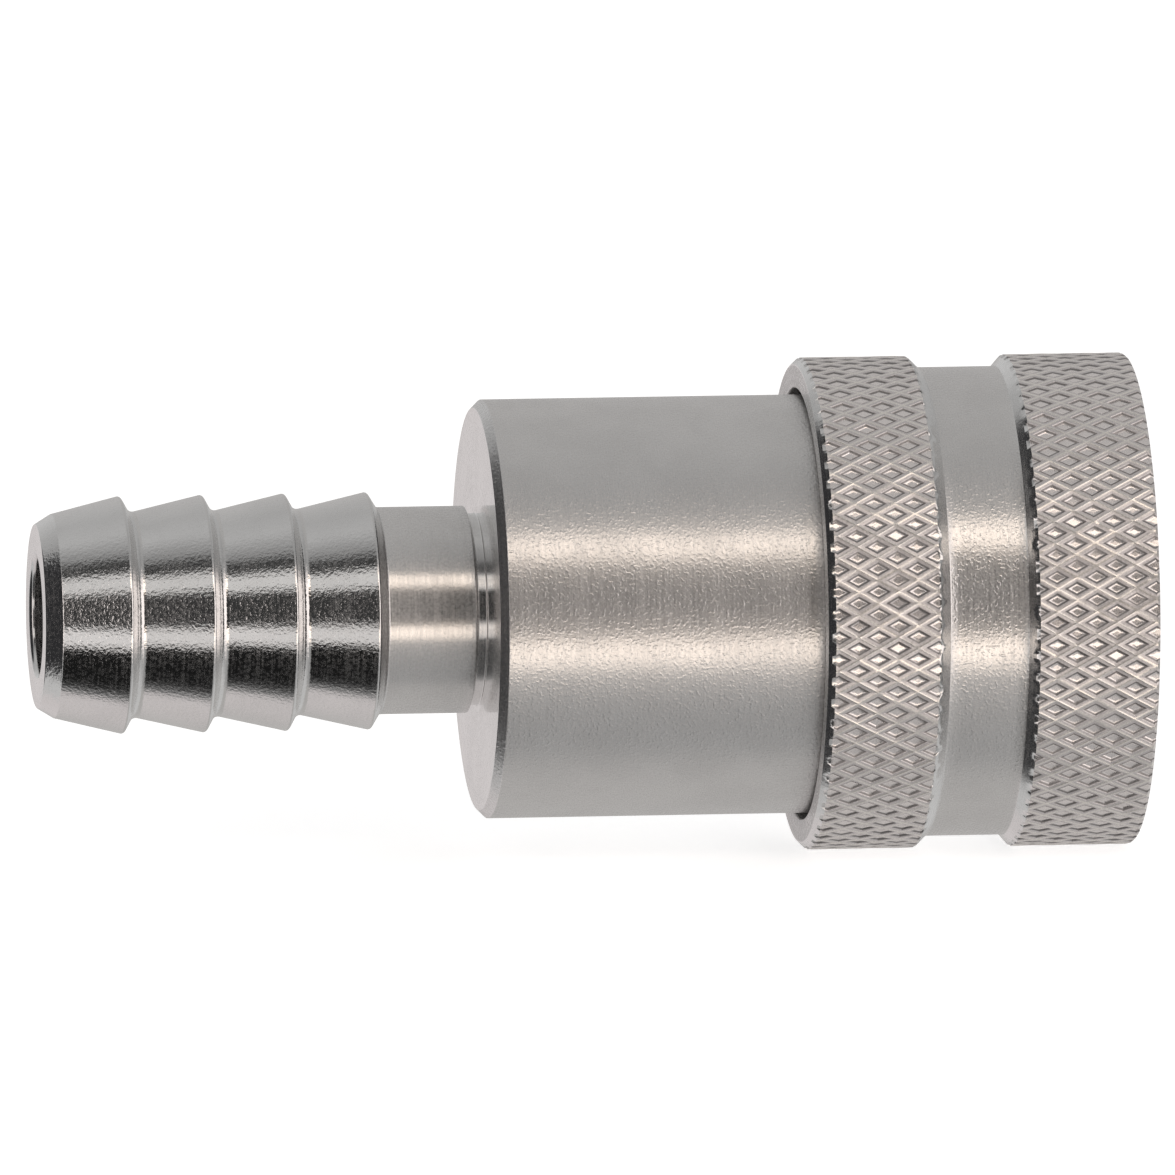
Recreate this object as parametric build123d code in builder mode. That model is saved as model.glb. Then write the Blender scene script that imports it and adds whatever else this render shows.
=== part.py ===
from build123d import *
import math
import os

# Ball-lock quick-release hose coupling, female half, with a 10 mm barbed hose tail.
# Frame: millimetres. X is the coupling's axis. The origin is the centre of the mouth, where
# the plug goes in, +X points out of the mouth, and the hose tail runs towards -X. +Z is up.
# Lengths along the axis are given as stations, measured from the tip of the hose tail.

# ---------------------------------------------------------------- driving dimensions
LENGTH = 55.7

# hose tail: four barbs on a plain shank, for hose of 10 mm bore
TAIL_BORE_R = 3.0
TAIL_TIP_R = 4.66
TIP_ROUND = 0.12
TAIL_LEAD = 0.83
TAIL_LEAD_R = 5.17
CREST_R = 6.0
ROOT_R = 5.2
BARB_COUNT = 4
FIRST_CREST = 4.16
BARB_PITCH = 4.19
CREST_LAND = 0.12
BARB_BACK = 0.36
SHANK_R = 5.25
UNDERCUT_R = 4.87
UNDERCUT_START = 21.85
UNDERCUT_RAMP = 0.15
SHOULDER = 22.42

# rear body: the plain cylinder, with the valve chamber inside
BODY_R = 10.62
BODY_EDGE = 0.42
CHAMBER_R = 7.4
THROAT_START = 25.2
THROAT_R = 3.6
SPRING_SEAT = 27.0
SPRING_POCKET_R = 5.4
SPRING_POCKET_END = 28.5
THREAD_START = 33.3
THREAD_R = 8.65
JOINT = 39.6

# seal between the two bodies
BODY_GLAND_START = 38.2
BODY_GLAND_R = 9.76

# socket body: spigot, flange, plug bore, ball holes, snap ring groove
SPIGOT_START = 33.5
SPIGOT_R = 8.6
VALVE_FACE = 39.8
FLANGE_R = 10.6
FLANGE_END = 40.6
GUIDE_R = 5.0
PLUG_STOP = 42.8
PLUG_BORE_R = 6.0
SEAL_GROOVE_R = 7.6
SEAL_GROOVE = (45.4, 48.2)
BALL_RELIEF_R = 6.2
BALL_RELIEF = (48.95, 52.45)
LEAD_IN = 0.4
BARREL_R = 8.34
RING_GROOVE_R = 7.75
RING_GROOVE = (54.1, 55.1)
LIP_CHAMFER = 0.15

# locking balls: they sink outwards by BALL_TRAVEL as the sleeve is drawn back by SLEEVE_TRAVEL
BALL_COUNT = 8
BALL_R = 3.175 / 2
BALL_STATION = 50.7
BALL_CIRCLE_R = 6.7375
BALL_TRAVEL = 0.9
BALL_HOLE_R = 1.61
SLEEVE_TRAVEL = 3.3

# sleeve: two grip bands with a groove between them
SLEEVE_START = 38.85
BAND_R = 12.5
GROOVE_R = 11.9
GROOVE = (44.5, 45.1, 49.1, 49.6)
SLEEVE_REAR_EDGE = 0.35
SLEEVE_EDGE = 0.12
SKIRT_R = 10.95
SKIRT_END = 49.2
LAND_R = 8.42
RING_SHOULDER = 54.05
MOUTH_R = 10.0

# small rings
WASHER = (48.65, 49.15)
WASHER_INNER_R = 8.5
WASHER_OUTER_R = 10.8
SNAP_RING_OUTER_R = 9.8
SNAP_RING_GAP = 2.4
SNAP_RING_SLACK = 0.02
PLUG_SEAL_CORD_R = 0.98
BACKUP_RING = (47.42, 48.18)
BACKUP_RING_INNER_R = 6.05
BACKUP_RING_OUTER_R = 7.58
BODY_SEAL_CORD_R = 0.57

# valve: a tube that the plug pushes back, closed by a head with a rubber seal
HEAD = (37.4, 38.6)
HEAD_R = 6.6
BOSS_START = 36.4
BOSS_R = 4.3
POPPET_TUBE_R = 4.93
POPPET_BORE_R = 3.6
POPPET_RIM = 46.0
WINDOW = (40.0, 42.6)
WINDOW_WIDTH = 3.2
VALVE_SEAL_END = 39.78
VALVE_SEAL_INNER_R = 4.98
VALVE_SEAL_OUTER_R = 6.5

# springs: wire radius, mean radius, turns
SLEEVE_SPRING = (0.45, 9.65, 4.5)
VALVE_SPRING = (0.4, 4.85, 5.5)
SPRING_END_GAP = 0.02

PARTS_FOLDER = "parts"


def x_at(station):
    """The row frame's x of a station measured from the tip of the hose tail."""
    return station - LENGTH


def write(piece, name):
    """Label a finished piece and write it as one STEP file."""
    piece.part.label = name
    export_step(piece.part, f"{PARTS_FOLDER}/{name}.step")


def ball_plane(number):
    """A plane at the centre of one ball at rest, whose normal points straight out of the axis."""
    angle = 2 * math.pi * (number - 1) / BALL_COUNT
    outwards = Vector(0, math.cos(angle), math.sin(angle))
    return Plane(origin=Vector(x_at(BALL_STATION), 0, 0) + outwards * BALL_CIRCLE_R, z_dir=outwards)


def barb_points():
    """The outline of the four barbs: a long taper up to a narrow land, then a steep back."""
    points = []
    for number in range(BARB_COUNT):
        crest = FIRST_CREST + number * BARB_PITCH
        points.append((x_at(crest), CREST_R))
        points.append((x_at(crest + CREST_LAND), CREST_R))
        root_r = ROOT_R if number < BARB_COUNT - 1 else SHANK_R
        points.append((x_at(crest + CREST_LAND + BARB_BACK), root_r))
    return points


os.makedirs(PARTS_FOLDER, exist_ok=True)

# ---------------------------------------------------------------- rear body with its hose tail
with BuildPart() as tail_body:
    with BuildSketch(Plane.XY):
        with BuildLine():
            Polyline(
                (x_at(0), TAIL_BORE_R),
                (x_at(0), TAIL_TIP_R),
                (x_at(TAIL_LEAD), TAIL_LEAD_R),
                *barb_points(),
                (x_at(UNDERCUT_START), SHANK_R),
                (x_at(UNDERCUT_START + UNDERCUT_RAMP), UNDERCUT_R),
                (x_at(SHOULDER), UNDERCUT_R),
                (x_at(SHOULDER), BODY_R - BODY_EDGE),
                (x_at(SHOULDER + BODY_EDGE), BODY_R),
                (x_at(JOINT), BODY_R),
                (x_at(JOINT), BODY_GLAND_R),
                (x_at(BODY_GLAND_START), BODY_GLAND_R),
                (x_at(BODY_GLAND_START), THREAD_R),
                (x_at(THREAD_START), THREAD_R),
                (x_at(THREAD_START), CHAMBER_R),
                (x_at(SPRING_POCKET_END), CHAMBER_R),
                (x_at(SPRING_POCKET_END), SPRING_POCKET_R),
                (x_at(SPRING_SEAT), SPRING_POCKET_R),
                (x_at(SPRING_SEAT), THROAT_R),
                (x_at(THROAT_START), TAIL_BORE_R),
                close=True,
            )
        make_face()
        fillet(vertices().group_by(Axis.X)[0].sort_by(Axis.Y)[-1], TIP_ROUND)
    revolve(axis=Axis.X)
write(tail_body, "tail_body")

# ---------------------------------------------------------------- socket body
with BuildPart() as socket_body:
    with BuildSketch(Plane.XY):
        with BuildLine():
            Polyline(
                (x_at(SPIGOT_START), CHAMBER_R),
                (x_at(SPIGOT_START), SPIGOT_R),
                (x_at(JOINT), SPIGOT_R),
                (x_at(JOINT), FLANGE_R),
                (x_at(FLANGE_END), FLANGE_R),
                (x_at(FLANGE_END), BARREL_R),
                (x_at(RING_GROOVE[0]), BARREL_R),
                (x_at(RING_GROOVE[0]), RING_GROOVE_R),
                (x_at(RING_GROOVE[1]), RING_GROOVE_R),
                (x_at(RING_GROOVE[1]), BARREL_R),
                (-LIP_CHAMFER, BARREL_R),
                (0, BARREL_R - LIP_CHAMFER),
                (0, PLUG_BORE_R + LEAD_IN),
                (-LEAD_IN, PLUG_BORE_R),
                (x_at(BALL_RELIEF[1]), PLUG_BORE_R),
                (x_at(BALL_RELIEF[1]), BALL_RELIEF_R),
                (x_at(BALL_RELIEF[0]), BALL_RELIEF_R),
                (x_at(BALL_RELIEF[0]), PLUG_BORE_R),
                (x_at(SEAL_GROOVE[1]), PLUG_BORE_R),
                (x_at(SEAL_GROOVE[1]), SEAL_GROOVE_R),
                (x_at(SEAL_GROOVE[0]), SEAL_GROOVE_R),
                (x_at(SEAL_GROOVE[0]), PLUG_BORE_R),
                (x_at(PLUG_STOP), PLUG_BORE_R),
                (x_at(PLUG_STOP), GUIDE_R),
                (x_at(VALVE_FACE), GUIDE_R),
                (x_at(VALVE_FACE), CHAMBER_R),
                close=True,
            )
        make_face()
    revolve(axis=Axis.X)
    # each ball hole is closed in at its inner end, so that its ball can't fall into the bore
    for ball_number in range(1, BALL_COUNT + 1):
        with Locations(ball_plane(ball_number)):
            Sphere(BALL_HOLE_R, mode=Mode.SUBTRACT)
            Cylinder(
                BALL_HOLE_R,
                BARREL_R,
                align=(Align.CENTER, Align.CENTER, Align.MIN),
                mode=Mode.SUBTRACT,
            )
write(socket_body, "socket_body")

# ---------------------------------------------------------------- locking balls
for ball_number in range(1, BALL_COUNT + 1):
    with BuildPart() as locking_ball:
        with Locations(ball_plane(ball_number)):
            Sphere(BALL_R)
    write(locking_ball, f"locking_ball_{ball_number}")

# ---------------------------------------------------------------- sleeve
# The cone over the balls rises by the balls' travel within the sleeve's travel.
with BuildPart() as locking_sleeve:
    with BuildSketch(Plane.XY):
        with BuildLine():
            Polyline(
                (x_at(SLEEVE_START), SKIRT_R),
                (x_at(SLEEVE_START), BAND_R - SLEEVE_REAR_EDGE),
                (x_at(SLEEVE_START + SLEEVE_REAR_EDGE), BAND_R),
                (x_at(GROOVE[0]), BAND_R),
                (x_at(GROOVE[1]), GROOVE_R),
                (x_at(GROOVE[2]), GROOVE_R),
                (x_at(GROOVE[3]), BAND_R),
                (-SLEEVE_EDGE, BAND_R),
                (0, BAND_R - SLEEVE_EDGE),
                (0, MOUTH_R),
                (x_at(RING_SHOULDER), MOUTH_R),
                (x_at(RING_SHOULDER), LAND_R + BALL_TRAVEL),
                (x_at(BALL_STATION + SLEEVE_TRAVEL), LAND_R + BALL_TRAVEL),
                (x_at(BALL_STATION), LAND_R),
                (x_at(SKIRT_END), LAND_R),
                (x_at(SKIRT_END), SKIRT_R),
                close=True,
            )
        make_face()
    revolve(axis=Axis.X)
write(locking_sleeve, "locking_sleeve")

# ---------------------------------------------------------------- rings with a plain section
with BuildPart() as thrust_washer:
    with BuildSketch(Plane.YZ.offset(x_at(WASHER[0]))):
        Circle(WASHER_OUTER_R)
        Circle(WASHER_INNER_R, mode=Mode.SUBTRACT)
    extrude(amount=WASHER[1] - WASHER[0])
write(thrust_washer, "thrust_washer")

with BuildPart() as backup_ring:
    with BuildSketch(Plane.YZ.offset(x_at(BACKUP_RING[0]))):
        Circle(BACKUP_RING_OUTER_R)
        Circle(BACKUP_RING_INNER_R, mode=Mode.SUBTRACT)
    extrude(amount=BACKUP_RING[1] - BACKUP_RING[0])
write(backup_ring, "backup_ring")

with BuildPart() as retaining_ring:
    with BuildSketch(Plane.YZ.offset(x_at(RING_GROOVE[0]) + SNAP_RING_SLACK)):
        Circle(SNAP_RING_OUTER_R)
        Circle(RING_GROOVE_R + SNAP_RING_SLACK, mode=Mode.SUBTRACT)
        with Locations((0, (RING_GROOVE_R + SNAP_RING_OUTER_R) / 2)):
            Rectangle(SNAP_RING_GAP, RING_GROOVE_R / 2, mode=Mode.SUBTRACT)
    extrude(amount=RING_GROOVE[1] - RING_GROOVE[0] - 2 * SNAP_RING_SLACK)
write(retaining_ring, "retaining_ring")

# ---------------------------------------------------------------- O-rings
with BuildPart() as plug_seal:
    with BuildSketch(Plane.XY):
        with Locations(
            (
                x_at(SEAL_GROOVE[0]) + PLUG_SEAL_CORD_R + SPRING_END_GAP,
                SEAL_GROOVE_R - PLUG_SEAL_CORD_R - SPRING_END_GAP,
            )
        ):
            Circle(PLUG_SEAL_CORD_R)
    revolve(axis=Axis.X)
write(plug_seal, "plug_seal")

with BuildPart() as body_seal:
    with BuildSketch(Plane.XY):
        with Locations(((x_at(BODY_GLAND_START) + x_at(JOINT)) / 2, (SPIGOT_R + BODY_GLAND_R) / 2)):
            Circle(BODY_SEAL_CORD_R)
    revolve(axis=Axis.X)
write(body_seal, "body_seal")

# ---------------------------------------------------------------- valve
with BuildPart() as valve_poppet:
    with BuildSketch(Plane.XY):
        with BuildLine():
            Polyline(
                (x_at(BOSS_START), 0),
                (x_at(BOSS_START), BOSS_R),
                (x_at(HEAD[0]), BOSS_R),
                (x_at(HEAD[0]), HEAD_R),
                (x_at(HEAD[1]), HEAD_R),
                (x_at(HEAD[1]), POPPET_TUBE_R),
                (x_at(POPPET_RIM), POPPET_TUBE_R),
                (x_at(POPPET_RIM), POPPET_BORE_R),
                (x_at(HEAD[1]), POPPET_BORE_R),
                (x_at(HEAD[1]), 0),
                close=True,
            )
        make_face()
    revolve(axis=Axis.X)
    # two slots straight across the tube make four windows for the flow
    with Locations((x_at((WINDOW[0] + WINDOW[1]) / 2), 0, 0)):
        Box(WINDOW[1] - WINDOW[0], WINDOW_WIDTH, 4 * GUIDE_R, mode=Mode.SUBTRACT)
        Box(WINDOW[1] - WINDOW[0], 4 * GUIDE_R, WINDOW_WIDTH, mode=Mode.SUBTRACT)
write(valve_poppet, "valve_poppet")

with BuildPart() as valve_seal:
    with BuildSketch(Plane.YZ.offset(x_at(HEAD[1]))):
        Circle(VALVE_SEAL_OUTER_R)
        Circle(VALVE_SEAL_INNER_R, mode=Mode.SUBTRACT)
    extrude(amount=VALVE_SEAL_END - HEAD[1])
write(valve_seal, "valve_seal")

# ---------------------------------------------------------------- springs
SPRINGS = {
    "sleeve_spring": (SLEEVE_SPRING, FLANGE_END, WASHER[0]),
    "valve_spring": (VALVE_SPRING, SPRING_SEAT, HEAD[0]),
}
for spring_name, ((wire_r, mean_r, turns), first, last) in SPRINGS.items():
    coil_start = x_at(first) + wire_r + SPRING_END_GAP
    coil_height = last - first - 2 * (wire_r + SPRING_END_GAP)
    with BuildPart() as spring:
        with BuildLine():
            coil = Helix(
                pitch=coil_height / turns,
                height=coil_height,
                radius=mean_r,
                center=(coil_start, 0, 0),
                direction=(1, 0, 0),
            )
        with BuildSketch(Plane(origin=coil @ 0, z_dir=coil % 0)):
            Circle(wire_r)
        sweep(path=coil, is_frenet=True)
    write(spring, spring_name)
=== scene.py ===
import math

import bmesh
import bpy
from mathutils import Matrix, Vector, noise


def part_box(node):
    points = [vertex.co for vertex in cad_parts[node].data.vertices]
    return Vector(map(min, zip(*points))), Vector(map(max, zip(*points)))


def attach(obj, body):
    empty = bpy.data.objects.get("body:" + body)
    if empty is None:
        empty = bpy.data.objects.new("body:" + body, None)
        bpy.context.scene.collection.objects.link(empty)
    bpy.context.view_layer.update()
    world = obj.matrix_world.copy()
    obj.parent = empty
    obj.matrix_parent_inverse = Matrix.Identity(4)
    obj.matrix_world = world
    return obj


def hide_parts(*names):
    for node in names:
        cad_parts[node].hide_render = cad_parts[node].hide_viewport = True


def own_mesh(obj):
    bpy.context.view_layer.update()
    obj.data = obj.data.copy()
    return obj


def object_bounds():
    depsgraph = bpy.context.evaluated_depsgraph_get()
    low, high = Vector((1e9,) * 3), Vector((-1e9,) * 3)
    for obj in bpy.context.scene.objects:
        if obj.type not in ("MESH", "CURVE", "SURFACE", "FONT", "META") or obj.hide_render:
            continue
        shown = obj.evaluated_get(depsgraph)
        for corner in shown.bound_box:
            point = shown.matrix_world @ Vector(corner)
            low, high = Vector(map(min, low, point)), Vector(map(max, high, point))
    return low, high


# The looks of a ball-lock hose coupling: nickel-plated barbed tail and body, a diamond-knurled
# sleeve, and behind the mouth the balls, rings, seals, valve and springs.
# Shapes are worked in millimetres. A station is the distance from the tip of the hose tail.

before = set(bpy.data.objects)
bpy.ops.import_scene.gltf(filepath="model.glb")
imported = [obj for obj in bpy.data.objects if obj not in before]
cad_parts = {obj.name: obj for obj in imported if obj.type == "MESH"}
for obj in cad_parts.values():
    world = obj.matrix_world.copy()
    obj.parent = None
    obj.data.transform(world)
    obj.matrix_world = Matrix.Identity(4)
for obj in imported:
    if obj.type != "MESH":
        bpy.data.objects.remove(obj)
cad_low, cad_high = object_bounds()

MM = 0.001


def node_end(node, side):
    """A CAD node's lowest (0) or highest (1) corner, in millimetres."""
    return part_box(node)[side] / MM


TIP_X = cad_low.x / MM
LENGTH = cad_high.x / MM - TIP_X


def x_at(station):
    """The frame's x, in millimetres, of a station."""
    return TIP_X + station


def station_of(node, side):
    """The station where a CAD node begins (0) or ends (1)."""
    return node_end(node, side).x - TIP_X


# ---------------------------------------------------------------- sizes
# columns round a turned piece, and how far past a rounding its straight run gets a point of its own
TURNED_COLUMNS = 256
FLAT_EDGE = 0.012

# hose tail
BORE_R = 3.0
NOSE_R = 4.66
NOSE_LEAD = (0.83, 5.17)
CREST_R = 6.0
ROOT_R = 5.2
SHANK_R = 5.25
FIRST_CREST = 4.16
BARB_PITCH = 4.19
BARB_COUNT = 4
CREST_LAND = 0.14
BARB_BACK = 0.48
UNDERCUT_R = 4.87
UNDERCUT = (21.85, 21.95)
SHOULDER = 22.42
BODY_EDGE = 0.42
BODY_R = node_end("tail_body", 1).z
JOINT = station_of("tail_body", 1)

# inside the body, from the joint back: seal gland, thread, valve chamber, spring pocket and throat
GLAND_START = 38.2
GLAND_R = 9.76
THREAD_START = 33.3
THREAD_R = 8.65
CHAMBER_START = 28.5
CHAMBER_R = 7.4
SPRING_SEAT = 27.0
SPRING_POCKET_R = 5.4
THROAT_START = 25.2
THROAT_R = 3.6

# sleeve: two bands with a groove between them, whose walls start and end at these four stations
SLEEVE_START = station_of("locking_sleeve", 0)
BAND_R = node_end("locking_sleeve", 1).z
GROOVE_R = 11.9
GROOVE = (44.5, 45.1, 49.1, 49.6)
REAR_CHAMFER = 0.35
MOUTH_CHAMFER = 0.12
EDGE_WIDTH = 0.06

# the sleeve's mesh: strips along the groove's floor, the length and height of its corners, extra
# rows on its two walls, and the least gap between an extra row and the knurl's own
GROOVE_STRIPS = 6
GROOVE_CORNER = (0.08, 0.02)
REAR_WALL_ROWS = (0.2, 0.4)
FRONT_WALL_ROWS = (0.17, 0.33)
ROW_GAP = 0.05

# inside the sleeve: the skirt over the spring, the land on the balls, their release and the mouth
SKIRT_R = 10.95
SKIRT_END = 49.2
LAND_R = 8.42
LAND_END = 50.7
RELEASE_R = 9.32
RELEASE_END = 54.0
RING_SHOULDER = 54.05
MOUTH_R = 10.0

# diamond knurl: cells round the sleeve, their length along it, the mesh steps in each, and where
# two ridges cross
KNURL_COUNT = 68
KNURL_LENGTH = 2.02
KNURL_STEPS = 12
KNURL_STATION = 41.37
KNURL_ANGLE = math.radians(25.93) - math.pi / KNURL_COUNT

# the knurl's heights, and how far from a ridge, as a share of a cell, the land and the pit's wall run
RIDGE_HEIGHT = 0.022
LAND_DROP = 0.015
LAND_WIDTH = 0.25
PIT_DEPTH = 0.115
PIT_WALL = (0.17, 0.3)

# unevenness: the crests' mean wear and how many waves of it to a millimetre, the shallowest pit as
# a share of the nominal depth, and how much deeper the others may be
CREST_WEAR = 0.012
WEAR_SCALE = 1.3
SHALLOWEST_PIT = 0.85
PIT_SPREAD = 0.3

# depths where the knurl's finish passes from ridge to land, from land to wall and from wall to floor
RIDGE_FADE = (0.012, 0.024)
WALL_FADE = (0.045, 0.08)
FLOOR_FADE = (0.115, 0.14)

# small parts
SNAP_RING_INNER_R = 7.77
SNAP_RING_GAP = 2.4
SNAP_RING_COLUMNS = 160
BALL_COUNT = 8
BALL_CUTS = 15

# springs: wire radius, mean radius and turns of each, how far its joint shortens it and its seats;
# then what share of the wire's radius is ground off the ends, and the mesh of the wire
SLEEVE_SPRING = (0.45, 9.65, 4.75)
SPIGOT_TO_SPRING = 7.1
VALVE_SPRING = (0.4, 4.85, 6.5)
VALVE_HEAD_START = 37.4
CLOSED_TURNS = 0.8
GROUND_END = 0.7
SEAT_GAP = 0.01
WIRE_SIDES = 14
STEPS_PER_TURN = 48


# ---------------------------------------------------------------- mesh helpers
def rounded(corners, steps=5):
    """A closed outline of (station, radius) points. A corner with a third number has that rounding."""
    outline = []
    for index, corner in enumerate(corners):
        here = Vector(corner[:2])
        if len(corner) < 3:
            outline.append(here)
            continue
        rounding = corner[2]
        back = (Vector(corners[index - 1][:2]) - here).normalized()
        ahead = (Vector(corners[(index + 1) % len(corners)][:2]) - here).normalized()
        half = back.angle(ahead) / 2
        centre = here + (back + ahead).normalized() * rounding / math.sin(half)
        tangent = rounding / math.tan(half)
        first = (here + back * tangent - centre).normalized()
        last = (here + ahead * tangent - centre).normalized()
        # a point just outside each end of the rounding keeps the straight runs' shading straight
        outline.append(here + back * (tangent + FLAT_EDGE))
        for step in range(steps + 1):
            outline.append(centre + first.slerp(last, step / steps) * rounding)
        outline.append(here + ahead * (tangent + FLAT_EDGE))
    return outline


def around(station, radius, angle):
    """A point in the frame, in millimetres: the angle is measured from the front (-Y) towards +Z."""
    return (x_at(station), -radius * math.cos(angle), radius * math.sin(angle))


def new_piece(name, points, faces, sharp=35):
    """A smooth-shaded mesh object from points in millimetres, with its normals facing out."""
    mesh = bpy.data.meshes.new(name)
    mesh.from_pydata([Vector(point) * MM for point in points], [], faces)
    work = bmesh.new()
    work.from_mesh(mesh)
    bmesh.ops.recalc_face_normals(work, faces=work.faces)
    work.to_mesh(mesh)
    work.free()
    mesh.shade_smooth()
    mesh.set_sharp_from_angle(angle=math.radians(sharp))
    piece = bpy.data.objects.new(name, mesh)
    bpy.context.scene.collection.objects.link(piece)
    return piece


def turned(name, outline):
    """A ring made by turning a closed outline about the coupling's axis."""
    columns = TURNED_COLUMNS
    points = []
    for column in range(columns):
        angle = 2 * math.pi * column / columns
        for station, radius in outline:
            points.append(around(station, radius, angle))
    rows = len(outline)
    faces = []
    for column in range(columns):
        here = column * rows
        beyond = (column + 1) % columns * rows
        for row in range(rows):
            following = (row + 1) % rows
            faces.append((here + row, here + following, beyond + following, beyond + row))
    return new_piece(name, points, faces)


# ---------------------------------------------------------------- hose tail and body
def barb_corners():
    """Four barbs: a long taper up to a worn crest, a steep back and a hollow root."""
    corners = []
    for number in range(BARB_COUNT):
        crest = FIRST_CREST + number * BARB_PITCH
        corners.append((crest + CREST_LAND, CREST_R + 0.03, 0.15))
        if number < BARB_COUNT - 1:
            corners.append((crest + CREST_LAND + BARB_BACK, ROOT_R - 0.03, 0.4))
        else:
            corners.append((crest + CREST_LAND + BARB_BACK, SHANK_R, 0.2))
    return corners


def make_tail_body():
    """Hose tail and body in one turned piece, with its bores."""
    outline = rounded(
        [
            (0, BORE_R, 0.25),
            (0, NOSE_R, 0.08),
            (*NOSE_LEAD, 0.2),
            *barb_corners(),
            (UNDERCUT[0], SHANK_R, 0.08),
            (UNDERCUT[1], UNDERCUT_R, 0.08),
            (SHOULDER, UNDERCUT_R, 0.06),
            (SHOULDER, BODY_R - BODY_EDGE, 0.05),
            (SHOULDER + BODY_EDGE, BODY_R, 0.06),
            (JOINT, BODY_R, 0.05),
            (JOINT, GLAND_R, 0.05),
            (GLAND_START, GLAND_R),
            (GLAND_START, THREAD_R),
            (THREAD_START, THREAD_R),
            (THREAD_START, CHAMBER_R),
            (CHAMBER_START, CHAMBER_R),
            (CHAMBER_START, SPRING_POCKET_R),
            (SPRING_SEAT, SPRING_POCKET_R),
            (SPRING_SEAT, THROAT_R),
            (THROAT_START, BORE_R),
        ]
    )
    return turned("tail_body_shell", outline)


# ---------------------------------------------------------------- sleeve
def knurl_lines(station, angle):
    """How many cells across each of the knurl's two families of ridges a place on the sleeve is."""
    turn = (angle - KNURL_ANGLE) * KNURL_COUNT / (2 * math.pi)
    along = (station - KNURL_STATION) / KNURL_LENGTH
    return turn + along, turn - along


def eased(value, low, high):
    """0 below low, 1 above high and a smooth rise between."""
    share = min(1, max(0, (value - low) / (high - low)))
    return share * share * (3 - 2 * share)


def knurl_depth(station, angle):
    """How deep the knurl is: sharp ridge lines, lands that fall gently away from them, and pits."""
    one, other = knurl_lines(station, angle)
    ridge_gap = min(abs(one - round(one)), abs(other - round(other)))
    ridge = RIDGE_HEIGHT * min(1, ridge_gap * KNURL_STEPS)
    land = LAND_DROP * eased(ridge_gap, 0.0, LAND_WIDTH)
    pit = PIT_DEPTH * eased(ridge_gap, *PIT_WALL)
    return ridge + land + pit


def pit_unevenness(station, angle):
    """A factor for each pit's depth: knurling never presses two pits the same."""
    one, other = knurl_lines(station, angle)
    pit = Vector((math.floor(one) % KNURL_COUNT + 0.5, math.floor(one) - math.floor(other) + 0.5, 0.5))
    return SHALLOWEST_PIT + PIT_SPREAD * noise.cell(pit)


def sleeve_limit(station):
    """The sleeve's outline before it is knurled: two bands, their chamfers and the groove."""
    outline = [
        (SLEEVE_START, BAND_R - REAR_CHAMFER),
        (SLEEVE_START + REAR_CHAMFER, BAND_R),
        (GROOVE[0], BAND_R),
        (GROOVE[1], GROOVE_R),
        (GROOVE[2], GROOVE_R),
        (GROOVE[3], BAND_R),
        (LENGTH - MOUTH_CHAMFER, BAND_R),
        (LENGTH, BAND_R - MOUTH_CHAMFER),
    ]
    for (left, left_r), (right, right_r) in zip(outline, outline[1:]):
        if station <= right:
            return left_r + (right_r - left_r) * (station - left) / (right - left)
    return outline[-1][1]


def knurled_rows(first, last, extra):
    """Stations of one band: the knurl's own steps, and the places where the band's outline turns."""
    step = KNURL_LENGTH / KNURL_STEPS
    low = math.ceil((first - KNURL_STATION) / step)
    high = math.floor((last - KNURL_STATION) / step)
    stations = [KNURL_STATION + number * step for number in range(low, high + 1)]
    stations = [place for place in stations if all(abs(place - other) > ROW_GAP for other in extra)]
    return sorted(stations + extra)


def sleeve_rows():
    """Stations along the sleeve's outside and back along its inside, with the radius at each.
    On the knurled bands the radius is None, because it changes round the sleeve."""
    rear_band = knurled_rows(
        SLEEVE_START,
        GROOVE[1],
        [
            SLEEVE_START,
            SLEEVE_START + REAR_CHAMFER / 2,
            SLEEVE_START + REAR_CHAMFER,
            GROOVE[0],
            *(GROOVE[0] + share for share in REAR_WALL_ROWS),
        ],
    )
    front_band = knurled_rows(
        GROOVE[2],
        LENGTH,
        [
            *(GROOVE[2] + share for share in FRONT_WALL_ROWS),
            GROOVE[3],
            LENGTH - MOUTH_CHAMFER,
            LENGTH,
        ],
    )
    run, rise = GROOVE_CORNER
    rows = [(place, None) for place in rear_band if place < GROOVE[1] - ROW_GAP]
    rows += [(GROOVE[1], GROOVE_R + rise)]
    rows += [(GROOVE[1] + run, GROOVE_R)]
    for share in range(1, GROOVE_STRIPS):
        rows += [(GROOVE[1] + share * (GROOVE[2] - GROOVE[1]) / GROOVE_STRIPS, GROOVE_R)]
    rows += [(GROOVE[2] - run, GROOVE_R)]
    rows += [(GROOVE[2], GROOVE_R + rise)]
    rows += [(place, None) for place in front_band if place > GROOVE[2] + ROW_GAP]
    inside = rounded(
        [
            (LENGTH, BAND_R - MOUTH_CHAMFER - EDGE_WIDTH),
            (LENGTH, MOUTH_R, 0.12),
            (RING_SHOULDER, MOUTH_R, 0.08),
            (RING_SHOULDER, RELEASE_R),
            (RELEASE_END, RELEASE_R, 0.1),
            (LAND_END, LAND_R),
            (SKIRT_END, LAND_R),
            (SKIRT_END, SKIRT_R),
            (SLEEVE_START, SKIRT_R, 0.12),
            (SLEEVE_START, BAND_R - REAR_CHAMFER - EDGE_WIDTH),
        ],
        steps=2,
    )
    return rows + [(station, radius) for station, radius in inside]


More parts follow.
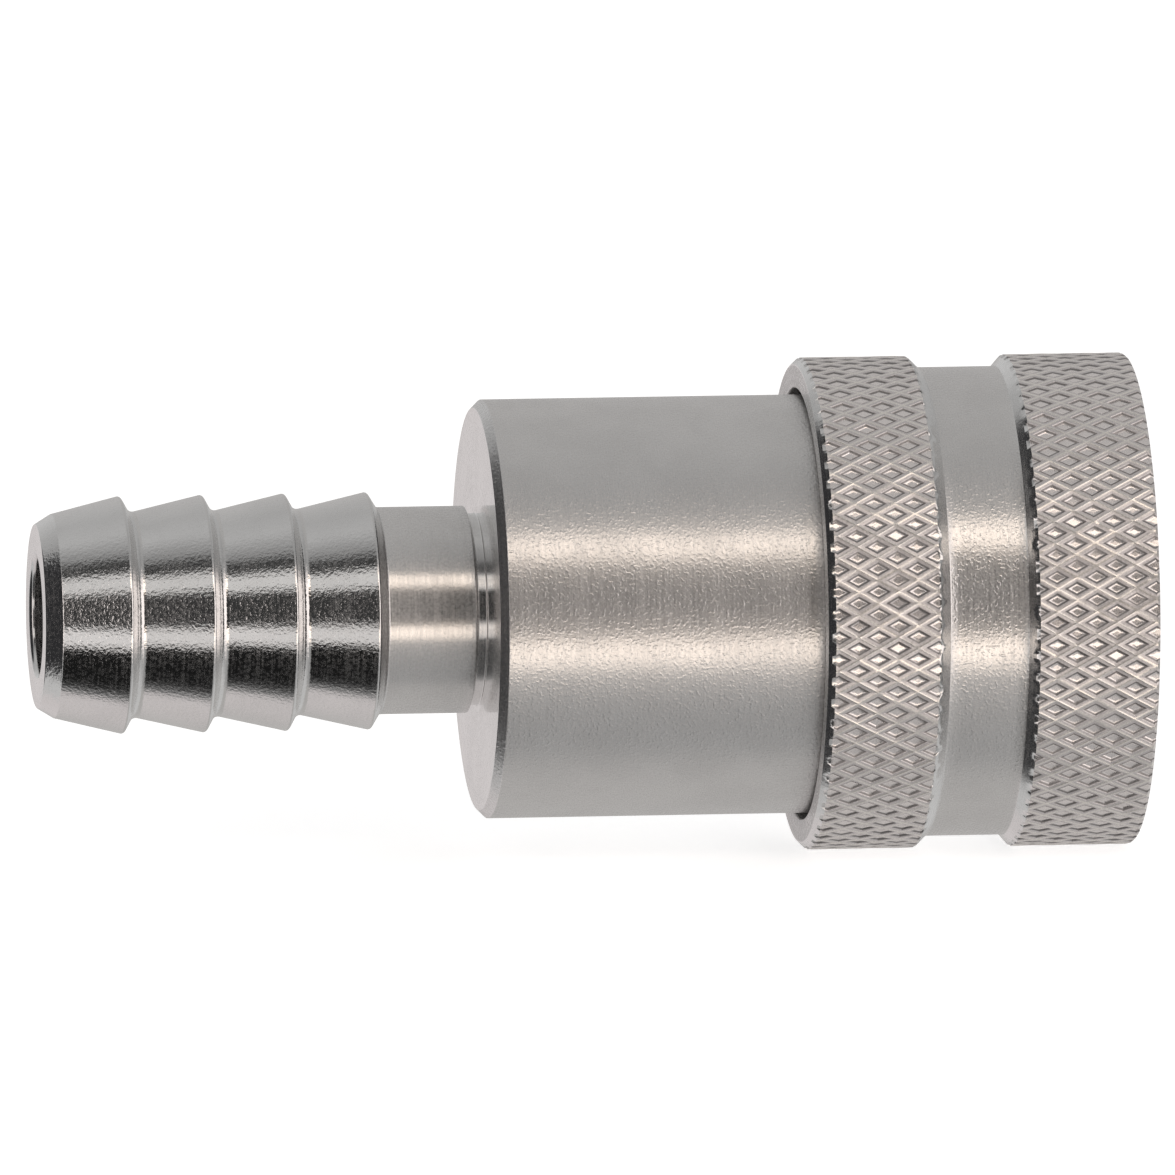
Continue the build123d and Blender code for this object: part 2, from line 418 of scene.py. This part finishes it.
def make_sleeve():
    """The knurled sleeve. Each point's depth below the ridges is kept for its material."""
    rows = sleeve_rows()
    columns = KNURL_COUNT * KNURL_STEPS
    points = []
    depths = []
    for column in range(columns):
        angle = KNURL_ANGLE + 2 * math.pi * column / columns
        for station, radius in rows:
            depth = 0
            if radius is None:
                place = Vector(around(station, BAND_R, angle))
                crest = BAND_R - CREST_WEAR * (1 + noise.noise(place * WEAR_SCALE))
                depth = knurl_depth(station, angle)
                radius = min(sleeve_limit(station), crest - depth * pit_unevenness(station, angle))
            points.append(around(station, radius, angle))
            depths.append(depth)
    count = len(rows)
    faces = []
    for column in range(columns):
        here = column * count
        beyond = (column + 1) % columns * count
        for row in range(count):
            following = (row + 1) % count
            quad = (here + row, here + following, beyond + following, beyond + row)
            if rows[row][1] is not None or rows[following][1] is not None:
                faces.append(quad)
                continue
            # the face is cut in two along whichever ridge is nearer, so that ridges stay straight
            angle = KNURL_ANGLE + 2 * math.pi * (column + 0.5) / columns
            station = (rows[row][0] + rows[following][0]) / 2
            one, other = knurl_lines(station, angle)
            if abs(one - round(one)) < abs(other - round(other)):
                faces += [(quad[0], quad[1], quad[3]), (quad[1], quad[2], quad[3])]
            else:
                faces += [(quad[0], quad[1], quad[2]), (quad[0], quad[2], quad[3])]
    piece = new_piece("sleeve_shell", points, faces, sharp=26)
    layer = piece.data.attributes.new("knurl_depth", "FLOAT", "POINT")
    layer.data.foreach_set("value", depths)
    return piece


# ---------------------------------------------------------------- small rings, balls and springs
def make_retaining_ring():
    """A snap ring: a flat ring with eased edges, open by a gap at the back."""
    low = station_of("retaining_ring", 0)
    high = station_of("retaining_ring", 1)
    outer = node_end("retaining_ring", 1).y
    inner = SNAP_RING_INNER_R
    section = rounded(
        [(low, inner, 0.1), (low, outer, 0.12), (high, outer, 0.12), (high, inner, 0.1)], steps=3
    )
    columns = SNAP_RING_COLUMNS
    points = []
    for column in range(columns + 1):
        for station, radius in section:
            opening = math.asin(SNAP_RING_GAP / 2 / radius)
            sweep = 2 * (math.pi - opening)
            # the gap faces +Y, where the angle from the front is half a turn
            angle = math.pi + opening + sweep * column / columns
            points.append(around(station, radius, angle))
    rows = len(section)
    faces = [tuple(range(rows)), tuple(range(columns * rows, (columns + 1) * rows))]
    for column in range(columns):
        here = column * rows
        for row in range(rows):
            following = (row + 1) % rows
            faces.append((here + row, here + following, here + rows + following, here + rows + row))
    return new_piece("retaining_snap_ring", points, faces)


def make_ball(number):
    """A bearing ball: a cube divided and drawn out to the ball's radius, in its CAD node's place."""
    low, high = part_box(f"locking_ball_{number}")
    centre = (low + high) / 2
    radius = (high.x - low.x) / 2
    work = bmesh.new()
    bmesh.ops.create_cube(work, size=1)
    bmesh.ops.subdivide_edges(work, edges=work.edges, cuts=BALL_CUTS, use_grid_fill=True)
    # each ball is turned its own way, so that their finishes don't repeat
    turn = Matrix.Rotation(0.7 * number, 3, Vector((1, number, 3 - number)))
    for vertex in work.verts:
        vertex.co = centre + turn @ (vertex.co.normalized() * radius)
    mesh = bpy.data.meshes.new(f"ball_{number}")
    work.to_mesh(mesh)
    work.free()
    mesh.shade_smooth()
    ball = bpy.data.objects.new(f"ball_{number}", mesh)
    bpy.context.scene.collection.objects.link(ball)
    return ball


def make_spring(name, first, last, wire_r, mean_r, turns):
    """A compression spring between two stations, with closed end turns ground flat."""
    sides = WIRE_SIDES
    steps = int(turns * STEPS_PER_TURN)
    wire = 2 * wire_r
    start = first + GROUND_END * wire_r
    run = last - first - GROUND_END * wire
    open_pitch = (run - 2 * CLOSED_TURNS * wire) / (turns - 2 * CLOSED_TURNS)
    points = []
    for step in range(steps + 1):
        turn = turns * step / steps
        station = start + min(turn, CLOSED_TURNS) * wire
        station += max(0, min(turn, turns - CLOSED_TURNS) - CLOSED_TURNS) * open_pitch
        station += max(0, turn - (turns - CLOSED_TURNS)) * wire
        for side in range(sides):
            lean = 2 * math.pi * side / sides
            place = min(last - SEAT_GAP, max(first + SEAT_GAP, station + wire_r * math.sin(lean)))
            points.append(around(place, mean_r + wire_r * math.cos(lean), 2 * math.pi * turn))
    faces = [tuple(range(sides)), tuple(range(steps * sides, (steps + 1) * sides))]
    for step in range(steps):
        here = step * sides
        for side in range(sides):
            following = (side + 1) % sides
            faces.append((here + side, here + following, here + sides + following, here + sides + side))
    return new_piece(name, points, faces, sharp=50)


# ---------------------------------------------------------------- material helpers
# a noise pattern's values mostly lie in these ranges
MID_NOISE = (0.35, 0.65)
WIDE_NOISE = (0.3, 0.7)

# how far grains, patches and turning lines shift the share of sharp reflection, and how far grains
# change the roughness
GRAIN_SHINE = (-0.14, 0.14)
PATCH_SHINE = (-0.06, 0.06)
LINE_SHINE = (-0.12, 0.12)
ROUGHNESS_SPREAD = (0.85, 1.15)

# the knurl's colours, with a lighter ridge colour that is partly a painted highlight and a dark wall
# colour that is painted shade, and how much more than its lands its ridges and floors reflect sharply
RUBBED_RIDGE_HIGHLIGHT_COLOUR = (1.0, 0.96, 0.91)
FLOOR_COLOUR = (1.0, 0.95, 0.93)
PAINTED_SHADE_WALL_COLOUR = (0.34, 0.325, 0.32)
RIDGE_SHINE = 0.4
FLOOR_SHINE = 0.55

# small dents: how many to a millimetre, and the noise values between which one rises
DENTS_PER_MM = 7.0
DENT_EDGE = (0.52, 0.75)


def new_tree(name):
    """A new material and its empty node tree."""
    material = bpy.data.materials.new(name)
    material.use_nodes = True
    material.node_tree.nodes.clear()
    return material, material.node_tree


def add(tree, kind, settings=None, **inputs):
    """A node of that kind. An input is a socket to link from, or a value."""
    node = tree.nodes.new(kind)
    for key, value in (settings or {}).items():
        setattr(node, key, value)
    for key, value in inputs.items():
        socket = node.inputs[int(key[1:])] if key[0] == "_" else node.inputs[key.replace("_", " ")]
        if isinstance(value, bpy.types.NodeSocket):
            tree.links.new(value, socket)
        else:
            socket.default_value = value
    return node


def noise_at(tree, coords, scale, detail=2.0, rough=0.6):
    """A noise pattern: scale is in features per millimetre."""
    node = add(tree, "ShaderNodeTexNoise", Vector=coords, Scale=scale / MM, Detail=detail, Roughness=rough)
    return node.outputs[0]


def turning_lines(tree, coords):
    """Fine rings round the coupling's axis, as a lathe leaves them on its sides and its faces."""
    axes = add(tree, "ShaderNodeSeparateXYZ", _0=coords).outputs
    flat = add(tree, "ShaderNodeCombineXYZ", _0=0.0, _1=axes[1], _2=axes[2]).outputs[0]
    radius = add(tree, "ShaderNodeVectorMath", {"operation": "LENGTH"}, _0=flat).outputs["Value"]
    rings = add(tree, "ShaderNodeCombineXYZ", _0=axes[0], _1=radius, _2=0.0).outputs[0]
    drift = add(tree, "ShaderNodeVectorMath", {"operation": "SCALE"}, _0=coords, Scale=0.012).outputs[0]
    wandering = add(tree, "ShaderNodeVectorMath", {"operation": "ADD"}, _0=rings, _1=drift).outputs[0]
    return noise_at(tree, wandering, 9.0, detail=3.0, rough=0.7)


def ranged(tree, value, low, high, to_low, to_high):
    """A value eased from one range to another, and held at its ends."""
    settings = {"interpolation_type": "SMOOTHSTEP"}
    node = add(tree, "ShaderNodeMapRange", settings, _0=value, _1=low, _2=high, _3=to_low, _4=to_high)
    return node.outputs[0]


def maths(tree, operation, first, second=0.0):
    """One sum on two values, each a socket or a number."""
    return add(tree, "ShaderNodeMath", {"operation": operation}, _0=first, _1=second).outputs[0]


def mixed(tree, factor, first, second):
    """A colour between two colours, each a socket or a triple of red, green and blue."""
    node = tree.nodes.new("ShaderNodeMix")
    node.data_type = "RGBA"
    for socket, value in ((node.inputs[0], factor), (node.inputs[6], first), (node.inputs[7], second)):
        if isinstance(value, bpy.types.NodeSocket):
            tree.links.new(value, socket)
        elif isinstance(value, tuple):
            socket.default_value = (*value, 1)
        else:
            socket.default_value = value
    return node.outputs[2]


def bumped(tree, height, distance, normal=None):
    """A normal bumped by a pattern that is so many millimetres high, on top of another if given."""
    node = add(tree, "ShaderNodeBump", Height=height, Strength=1.0, Distance=distance * MM)
    if normal is not None:
        tree.links.new(normal, node.inputs["Normal"])
    return node.outputs[0]


def metal(
    name,
    colour,
    satin,
    bright,
    share,
    grain,
    peel,
    lines=0.0,
    dents=0.0,
    knurl=None,
    tint=0.05,
):
    """Plated or bare metal. Part of the light spreads widely off a satin skin and a share of it
    reflects more sharply; satin and bright are their roughnesses. Fine grains, turning lines round
    the axis and small dents make both uneven; peel, lines and dents are their heights. knurl is the
    colour of the knurl's lands, and tint is how much darker the metal's patches are."""
    material, tree = new_tree(name)
    coords = add(tree, "ShaderNodeTexCoord").outputs["Object"]
    grains = noise_at(tree, coords, grain, detail=2.0)
    patches = noise_at(tree, coords, 0.3, detail=4.0)
    rings = turning_lines(tree, coords)
    darker = tuple(channel * (1 - tint) for channel in colour)
    shade = mixed(tree, ranged(tree, patches, *MID_NOISE, 0.0, 1.0), darker, colour)
    shine = maths(tree, "ADD", ranged(tree, grains, *MID_NOISE, *GRAIN_SHINE), share)
    shine = maths(tree, "ADD", shine, ranged(tree, patches, *WIDE_NOISE, *PATCH_SHINE))
    if lines:
        shine = maths(tree, "ADD", shine, ranged(tree, rings, *WIDE_NOISE, *LINE_SHINE))
    if knurl:
        # the knurl's ridges are rubbed smooth and given a lighter colour that is partly a painted
        # highlight; its pits have smooth floors, and their walls are painted dark as painted shade
        depth = add(tree, "ShaderNodeAttribute", {"attribute_name": "knurl_depth"}).outputs["Fac"]
        ridge = ranged(tree, depth, *RIDGE_FADE, 1.0, 0.0)
        floor = ranged(tree, depth, *FLOOR_FADE, 0.0, 1.0)
        below_land = ranged(tree, depth, *WALL_FADE, 0.0, 1.0)
        wall = maths(tree, "MULTIPLY", below_land, maths(tree, "SUBTRACT", 1.0, floor))
        # painted highlight: the ridges' colour is lightened, partly for rubbed crests and partly to stand
        # in for light they catch
        shade = mixed(tree, ridge, knurl, RUBBED_RIDGE_HIGHLIGHT_COLOUR)
        shade = mixed(tree, floor, shade, FLOOR_COLOUR)
        # painted shade: the pit walls' colour is darkened where the crevices fall into shade
        shade = mixed(tree, wall, shade, PAINTED_SHADE_WALL_COLOUR)
        rubbed = maths(tree, "MULTIPLY", ridge, RIDGE_SHINE)
        pressed = maths(tree, "MULTIPLY", floor, FLOOR_SHINE)
        shine = maths(tree, "ADD", shine, maths(tree, "ADD", rubbed, pressed))
    normal = bumped(tree, grains, peel)
    if lines:
        normal = bumped(tree, rings, lines, normal)
    if dents:
        dots = noise_at(tree, coords, DENTS_PER_MM, detail=0.0)
        normal = bumped(tree, ranged(tree, dots, *DENT_EDGE, 0.0, 1.0), dents, normal)
    lobes = []
    for roughness in (satin, bright):
        smoothest, roughest = (roughness * factor for factor in ROUGHNESS_SPREAD)
        spread = ranged(tree, grains, *MID_NOISE, smoothest, roughest)
        lobe = add(
            tree,
            "ShaderNodeBsdfPrincipled",
            Base_Color=shade,
            Metallic=1.0,
            Roughness=spread,
            Normal=normal,
        )
        lobes.append(lobe.outputs[0])
    both = add(tree, "ShaderNodeMixShader", _0=shine, _1=lobes[0], _2=lobes[1]).outputs[0]
    add(tree, "ShaderNodeOutputMaterial", Surface=both)
    return material


def soft(name, colour, rough, grain, peel, tint, subsurface=0.0):
    """Rubber or plastic: an even colour with fine mottling and a slightly uneven surface."""
    material, tree = new_tree(name)
    coords = add(tree, "ShaderNodeTexCoord").outputs["Object"]
    grains = noise_at(tree, coords, grain, detail=3.0)
    patches = noise_at(tree, coords, 0.5, detail=2.0)
    darker = tuple(channel * (1 - tint) for channel in colour)
    shade = mixed(tree, ranged(tree, patches, *WIDE_NOISE, 0.0, 1.0), darker, colour)
    roughness = ranged(tree, grains, *WIDE_NOISE, *rough)
    normal = bumped(tree, grains, peel)
    surface = add(
        tree,
        "ShaderNodeBsdfPrincipled",
        Base_Color=shade,
        Roughness=roughness,
        Normal=normal,
        Subsurface_Weight=subsurface,
    )
    surface.inputs["Subsurface Radius"].default_value = (0.4 * MM, 0.4 * MM, 0.4 * MM)
    surface.inputs["Subsurface Scale"].default_value = 1.0
    add(tree, "ShaderNodeOutputMaterial", Surface=surface.outputs[0])
    return material


NICKEL = (0.80, 0.79, 0.78)
KNURLED_NICKEL = (0.8, 0.765, 0.76)
STEEL = (0.66, 0.67, 0.69)
SPRING_STEEL = (0.45, 0.45, 0.47)
WASHER_STEEL = (0.55, 0.55, 0.56)
BRASS = (0.83, 0.62, 0.30)

materials = {
    "body": metal(
        "nickel_body", NICKEL, 0.4, 0.17, 0.31, grain=6.0, peel=0.008, lines=0.002, dents=0.0045
    ),
    "shank": metal("nickel_shank", NICKEL, 0.5, 0.17, 0.5, grain=6.0, peel=0.005, lines=0.004),
    "barbs": metal("nickel_barbs", NICKEL, 0.4, 0.07, 0.95, grain=6.0, peel=0.014, lines=0.001),
    "nose": metal("nickel_nose", NICKEL, 0.4, 0.1, 0.9, grain=4.0, peel=0.001, lines=0.003),
    "knurl": metal("nickel_knurl", NICKEL, 0.52, 0.22, 0.12, grain=7.0, peel=0.004, knurl=KNURLED_NICKEL),
    "walls": metal("nickel_walls", NICKEL, 0.4, 0.15, 0.85, grain=6.0, peel=0.004, lines=0.002),
    "groove": metal(
        "nickel_groove", NICKEL, 0.47, 0.17, 0.5, grain=8.0, peel=0.006, lines=0.003, dents=0.005
    ),
    "inside": metal("nickel_inside", NICKEL, 0.6, 0.25, 0.5, grain=5.0, peel=0.003, lines=0.006),
    "balls": metal("ball_steel", STEEL, 0.3, 0.06, 0.9, grain=2.5, peel=0.0005, tint=0.1),
    "springs": metal("spring_wire", SPRING_STEEL, 0.6, 0.25, 0.6, grain=6.0, peel=0.003),
    "washer": metal("washer_steel", WASHER_STEEL, 0.7, 0.3, 0.5, grain=5.0, peel=0.004),
    "brass": metal("brass", BRASS, 0.6, 0.18, 0.6, grain=5.0, peel=0.003, lines=0.008),
    "rubber": soft("black_rubber", (0.018, 0.018, 0.019), (0.42, 0.6), 5.0, 0.006, 0.3),
    "ptfe": soft("white_ptfe", (0.82, 0.82, 0.80), (0.38, 0.5), 4.0, 0.003, 0.05, subsurface=0.3),
}


def dress(piece, finishes, finish_at=None):
    """Gives a piece its finishes. finish_at picks one from a face's middle, in millimetres."""
    for finish in finishes:
        piece.data.materials.append(materials[finish])
    if finish_at:
        for face in piece.data.polygons:
            face.material_index = finishes.index(finish_at(face.center / MM))


def place(piece, body, slot, *nodes):
    """The piece rides on a body and stands for CAD nodes; slot is not used."""
    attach(piece, body)
    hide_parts(*nodes)


# ---------------------------------------------------------------- pieces
# a finish starts or ends this far past a corner, so that whole faces take it
MARGIN = 0.02
TIP_FACE = 0.05
BORE_EDGE = 0.3
BARB_BACK_TOP = 0.3
SHOULDER_FACE = 0.1
SLEEVE_WALL = 0.15


def tail_finish(middle):
    """The finish of a face of the tail body, from the face's middle."""
    station = middle.x - TIP_X
    radius = math.hypot(middle.y, middle.z)
    if station < TIP_FACE or radius < BORE_R + BORE_EDGE:
        return "nose"
    if station < FIRST_CREST + (BARB_COUNT - 1) * BARB_PITCH + CREST_LAND + BARB_BACK_TOP:
        return "barbs"
    if station < UNDERCUT[0] - MARGIN:
        return "shank"
    if station < SHOULDER + SHOULDER_FACE:
        return "nose"
    return "body"


def sleeve_finish(middle):
    """The finish of a face of the sleeve, from the face's middle."""
    station = middle.x - TIP_X
    radius = math.hypot(middle.y, middle.z)
    if radius < GROOVE_R - SLEEVE_WALL:
        return "inside"
    if GROOVE[1] - MARGIN < station < GROOVE[2] + MARGIN:
        return "groove"
    if GROOVE[0] < station < GROOVE[3] or station < SLEEVE_START + REAR_CHAMFER:
        return "walls"
    return "knurl"


tail = make_tail_body()
dress(tail, ["body", "shank", "barbs", "nose"], tail_finish)
place(tail, "housing", "nickel_plate", "tail_body")

sleeve = make_sleeve()
dress(sleeve, ["knurl", "walls", "groove", "inside"], sleeve_finish)
place(sleeve, "sleeve", "nickel_knurled", "locking_sleeve")

for number in range(1, BALL_COUNT + 1):
    ball = make_ball(number)
    dress(ball, ["balls"])
    place(ball, f"locking_ball_{number}", "ball_steel", f"locking_ball_{number}")

snap_ring = make_retaining_ring()
dress(snap_ring, ["springs"])
place(snap_ring, "housing", "spring_steel", "retaining_ring")

seat = (station_of("socket_body", 0) + SPIGOT_TO_SPRING, station_of("thrust_washer", 0))
sleeve_spring = make_spring("sleeve_coil_spring", *seat, *SLEEVE_SPRING)
dress(sleeve_spring, ["springs"])
place(sleeve_spring, "housing", "spring_steel", "sleeve_spring")
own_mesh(sleeve_spring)

seat = (SPRING_SEAT, VALVE_HEAD_START)
valve_spring = make_spring("valve_coil_spring", *seat, *VALVE_SPRING)
dress(valve_spring, ["springs"])
place(valve_spring, "housing", "spring_steel", "valve_spring")
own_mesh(valve_spring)

for node, finish, slot in (
    ("socket_body", "inside", "nickel_plate"),
    ("thrust_washer", "washer", "steel"),
    ("valve_poppet", "brass", "bare_brass"),
    ("valve_seal", "rubber", "black_rubber"),
    ("plug_seal", "rubber", "black_rubber"),
    ("body_seal", "rubber", "black_rubber"),
    ("backup_ring", "ptfe", "white_ptfe"),
):
    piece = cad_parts[node]
    piece.data.materials.clear()
    piece.data.materials.append(materials[finish])

# ---------------------------------------------------------------- studio
# camera: its direction, its lens, how wide it sees and the point it looks at, in millimetres
ELEVATION = math.radians(7.6)
AZIMUTH = math.radians(-7.26)
LENS = 1000
SENSOR = 36
FRAME_WIDTH = 59.58
TARGET_STATION = 28.14
TARGET_RISE = 0.994

# floor: half its side, in metres
FLOOR_HALF = 3.0

# light: where, by the x of a direction, the left half passes into the right, and where the bright
# walls and the dark ends begin on each side
HALVES = (-0.2, 0.1)
RIGHT_WALL = (0.28, 0.42)
RIGHT_END = (0.84, 0.9)
LEFT_WALL = (0.42, 0.5)
LEFT_END = (0.62, 0.7)
WARM = (2.15, 1.87, 1.63)


def colour_ramp(tree, value, stops):
    """A colour for each height, in degrees above the camera's line of sight."""
    ramp = add(tree, "ShaderNodeValToRGB", _0=value)
    elements = ramp.color_ramp.elements
    while len(elements) < len(stops):
        elements.new(0.5)
    for element, (degrees, tone) in zip(elements, stops):
        element.position = (degrees + 180) / 360
        element.color = (*tone, 1) if isinstance(tone, tuple) else (tone, tone, tone, 1)
    return ramp.outputs[0]


def make_world():
    """Soft studio light by direction. The camera itself sees plain white."""
    world = bpy.data.worlds.new("studio")
    world.use_nodes = True
    tree = world.node_tree
    tree.nodes.clear()
    direction = add(tree, "ShaderNodeTexCoord").outputs["Generated"]
    axes = add(tree, "ShaderNodeSeparateXYZ", _0=direction).outputs
    # height is the angle above the camera's line of sight, round the coupling's axis
    toward = maths(tree, "MULTIPLY", axes[1], -1.0)
    height = maths(tree, "SUBTRACT", maths(tree, "ARCTAN2", axes[2], toward), ELEVATION)
    share = add(tree, "ShaderNodeMapRange", _0=height, _1=-math.pi, _2=math.pi, _3=0.0, _4=1.0).outputs[0]
    reach = ranged(tree, axes[0], *HALVES, 0.0, 1.0)
    left = colour_ramp(
        tree,
        share,
        [
            (-180, (0.70, 0.66, 0.66)),
            (-100, (0.66, 0.625, 0.625)),
            (-93, 0.25),
            (-85, 0.05),
            (-76, 0.01),
            (-38, 0.01),
            (-33, (0.78, 0.76, 0.75)),
            (-19, (0.78, 0.76, 0.75)),
            (-12, 0.04),
            (21, 0.04),
            (25, (0.70, 0.69, 0.68)),
            (40, (0.70, 0.69, 0.68)),
            (45, 0.04),
            (55, 0.05),
            (62, 0.27),
            (88, 0.52),
            (116, 0.46),
            (180, 0.66),
        ],
    )
    right = colour_ramp(
        tree,
        share,
        [
            (-180, (0.5, 0.49, 0.48)),
            (-96, (0.47, 0.46, 0.45)),
            (-84, 0.36),
            (-36, 0.38),
            (-28, WARM),
            (-21, WARM),
            (-15, 0.03),
            (23, 0.03),
            (29, WARM),
            (36.5, WARM),
            (42, 0.3),
            (60, 0.36),
            (90, (0.44, 0.435, 0.43)),
            (180, (0.5, 0.49, 0.485)),
        ],
    )
    lit = mixed(tree, reach, left, right)
    # bright walls to the right and, narrower, to the left, with dark ends beyond them
    wall = colour_ramp(
        tree,
        share,
        [
            (-100, 0.6),
            (-60, 0.4),
            (-30, (1.35, 1.25, 1.21)),
            (32, (1.35, 1.25, 1.21)),
            (60, 0.3),
            (120, 0.45),
        ],
    )
    sideways = maths(tree, "MULTIPLY", axes[0], -1.0)
    lit = mixed(tree, ranged(tree, axes[0], *RIGHT_WALL, 0.0, 1.0), lit, wall)
    lit = mixed(tree, ranged(tree, axes[0], *RIGHT_END, 0.0, 1.0), lit, (0.22, 0.22, 0.22))
    lit = mixed(tree, ranged(tree, sideways, *LEFT_WALL, 0.0, 1.0), lit, wall)
    lit = mixed(tree, ranged(tree, sideways, *LEFT_END, 0.0, 1.0), lit, (0.03, 0.03, 0.032))
    studio = add(tree, "ShaderNodeBackground", _0=lit, Strength=1.0)
    white = add(tree, "ShaderNodeBackground", _0=(1, 1, 1, 1), Strength=1.0)
    camera_sees = add(tree, "ShaderNodeLightPath").outputs["Is Camera Ray"]
    both = add(tree, "ShaderNodeMixShader", _0=camera_sees, _1=studio.outputs[0], _2=white.outputs[0])
    add(tree, "ShaderNodeOutputWorld", Surface=both.outputs[0])
    bpy.context.scene.world = world


def make_floor():
    """A pale floor under the coupling. It takes a faint shadow and isn't seen in the metal."""
    half = FLOOR_HALF
    corners = [(-half, -half), (half, -half), (half, half), (-half, half)]
    mesh = bpy.data.meshes.new("floor")
    mesh.from_pydata([(x, y, cad_low.z) for x, y in corners], [], [(0, 1, 2, 3)])
    floor = bpy.data.objects.new("floor", mesh)
    bpy.context.scene.collection.objects.link(floor)
    material, tree = new_tree("pale_floor")
    surface = add(
        tree,
        "ShaderNodeBsdfPrincipled",
        Base_Color=(0.9, 0.9, 0.9, 1),
        Roughness=0.9,
        Emission_Color=(1, 1, 1, 1),
        Emission_Strength=0.7,
    )
    add(tree, "ShaderNodeOutputMaterial", Surface=surface.outputs[0])
    mesh.materials.append(material)
    floor.visible_glossy = False
    floor.visible_diffuse = False
    floor.visible_shadow = False
    floor.visible_transmission = False


def make_camera():
    """A long lens, a little to the left of the coupling's middle and above it."""
    camera = bpy.data.cameras.new("camera")
    camera.lens = LENS
    camera.sensor_width = SENSOR
    distance = FRAME_WIDTH * MM * LENS / SENSOR
    back = Vector(
        (
            math.sin(AZIMUTH) * math.cos(ELEVATION),
            -math.cos(AZIMUTH) * math.cos(ELEVATION),
            math.sin(ELEVATION),
        )
    )
    turn = (-back).to_track_quat("-Z", "Y")
    up = turn @ Vector((0, 1, 0))
    target = Vector((x_at(TARGET_STATION) * MM, 0, 0)) + up * TARGET_RISE * MM
    viewer = bpy.data.objects.new("camera", camera)
    viewer.rotation_mode = "QUATERNION"
    viewer.rotation_quaternion = turn
    viewer.location = target + back * distance
    camera.clip_end = 100
    bpy.context.scene.collection.objects.link(viewer)
    bpy.context.scene.camera = viewer


make_world()
make_floor()
make_camera()
bpy.context.scene.view_settings.view_transform = "Standard"
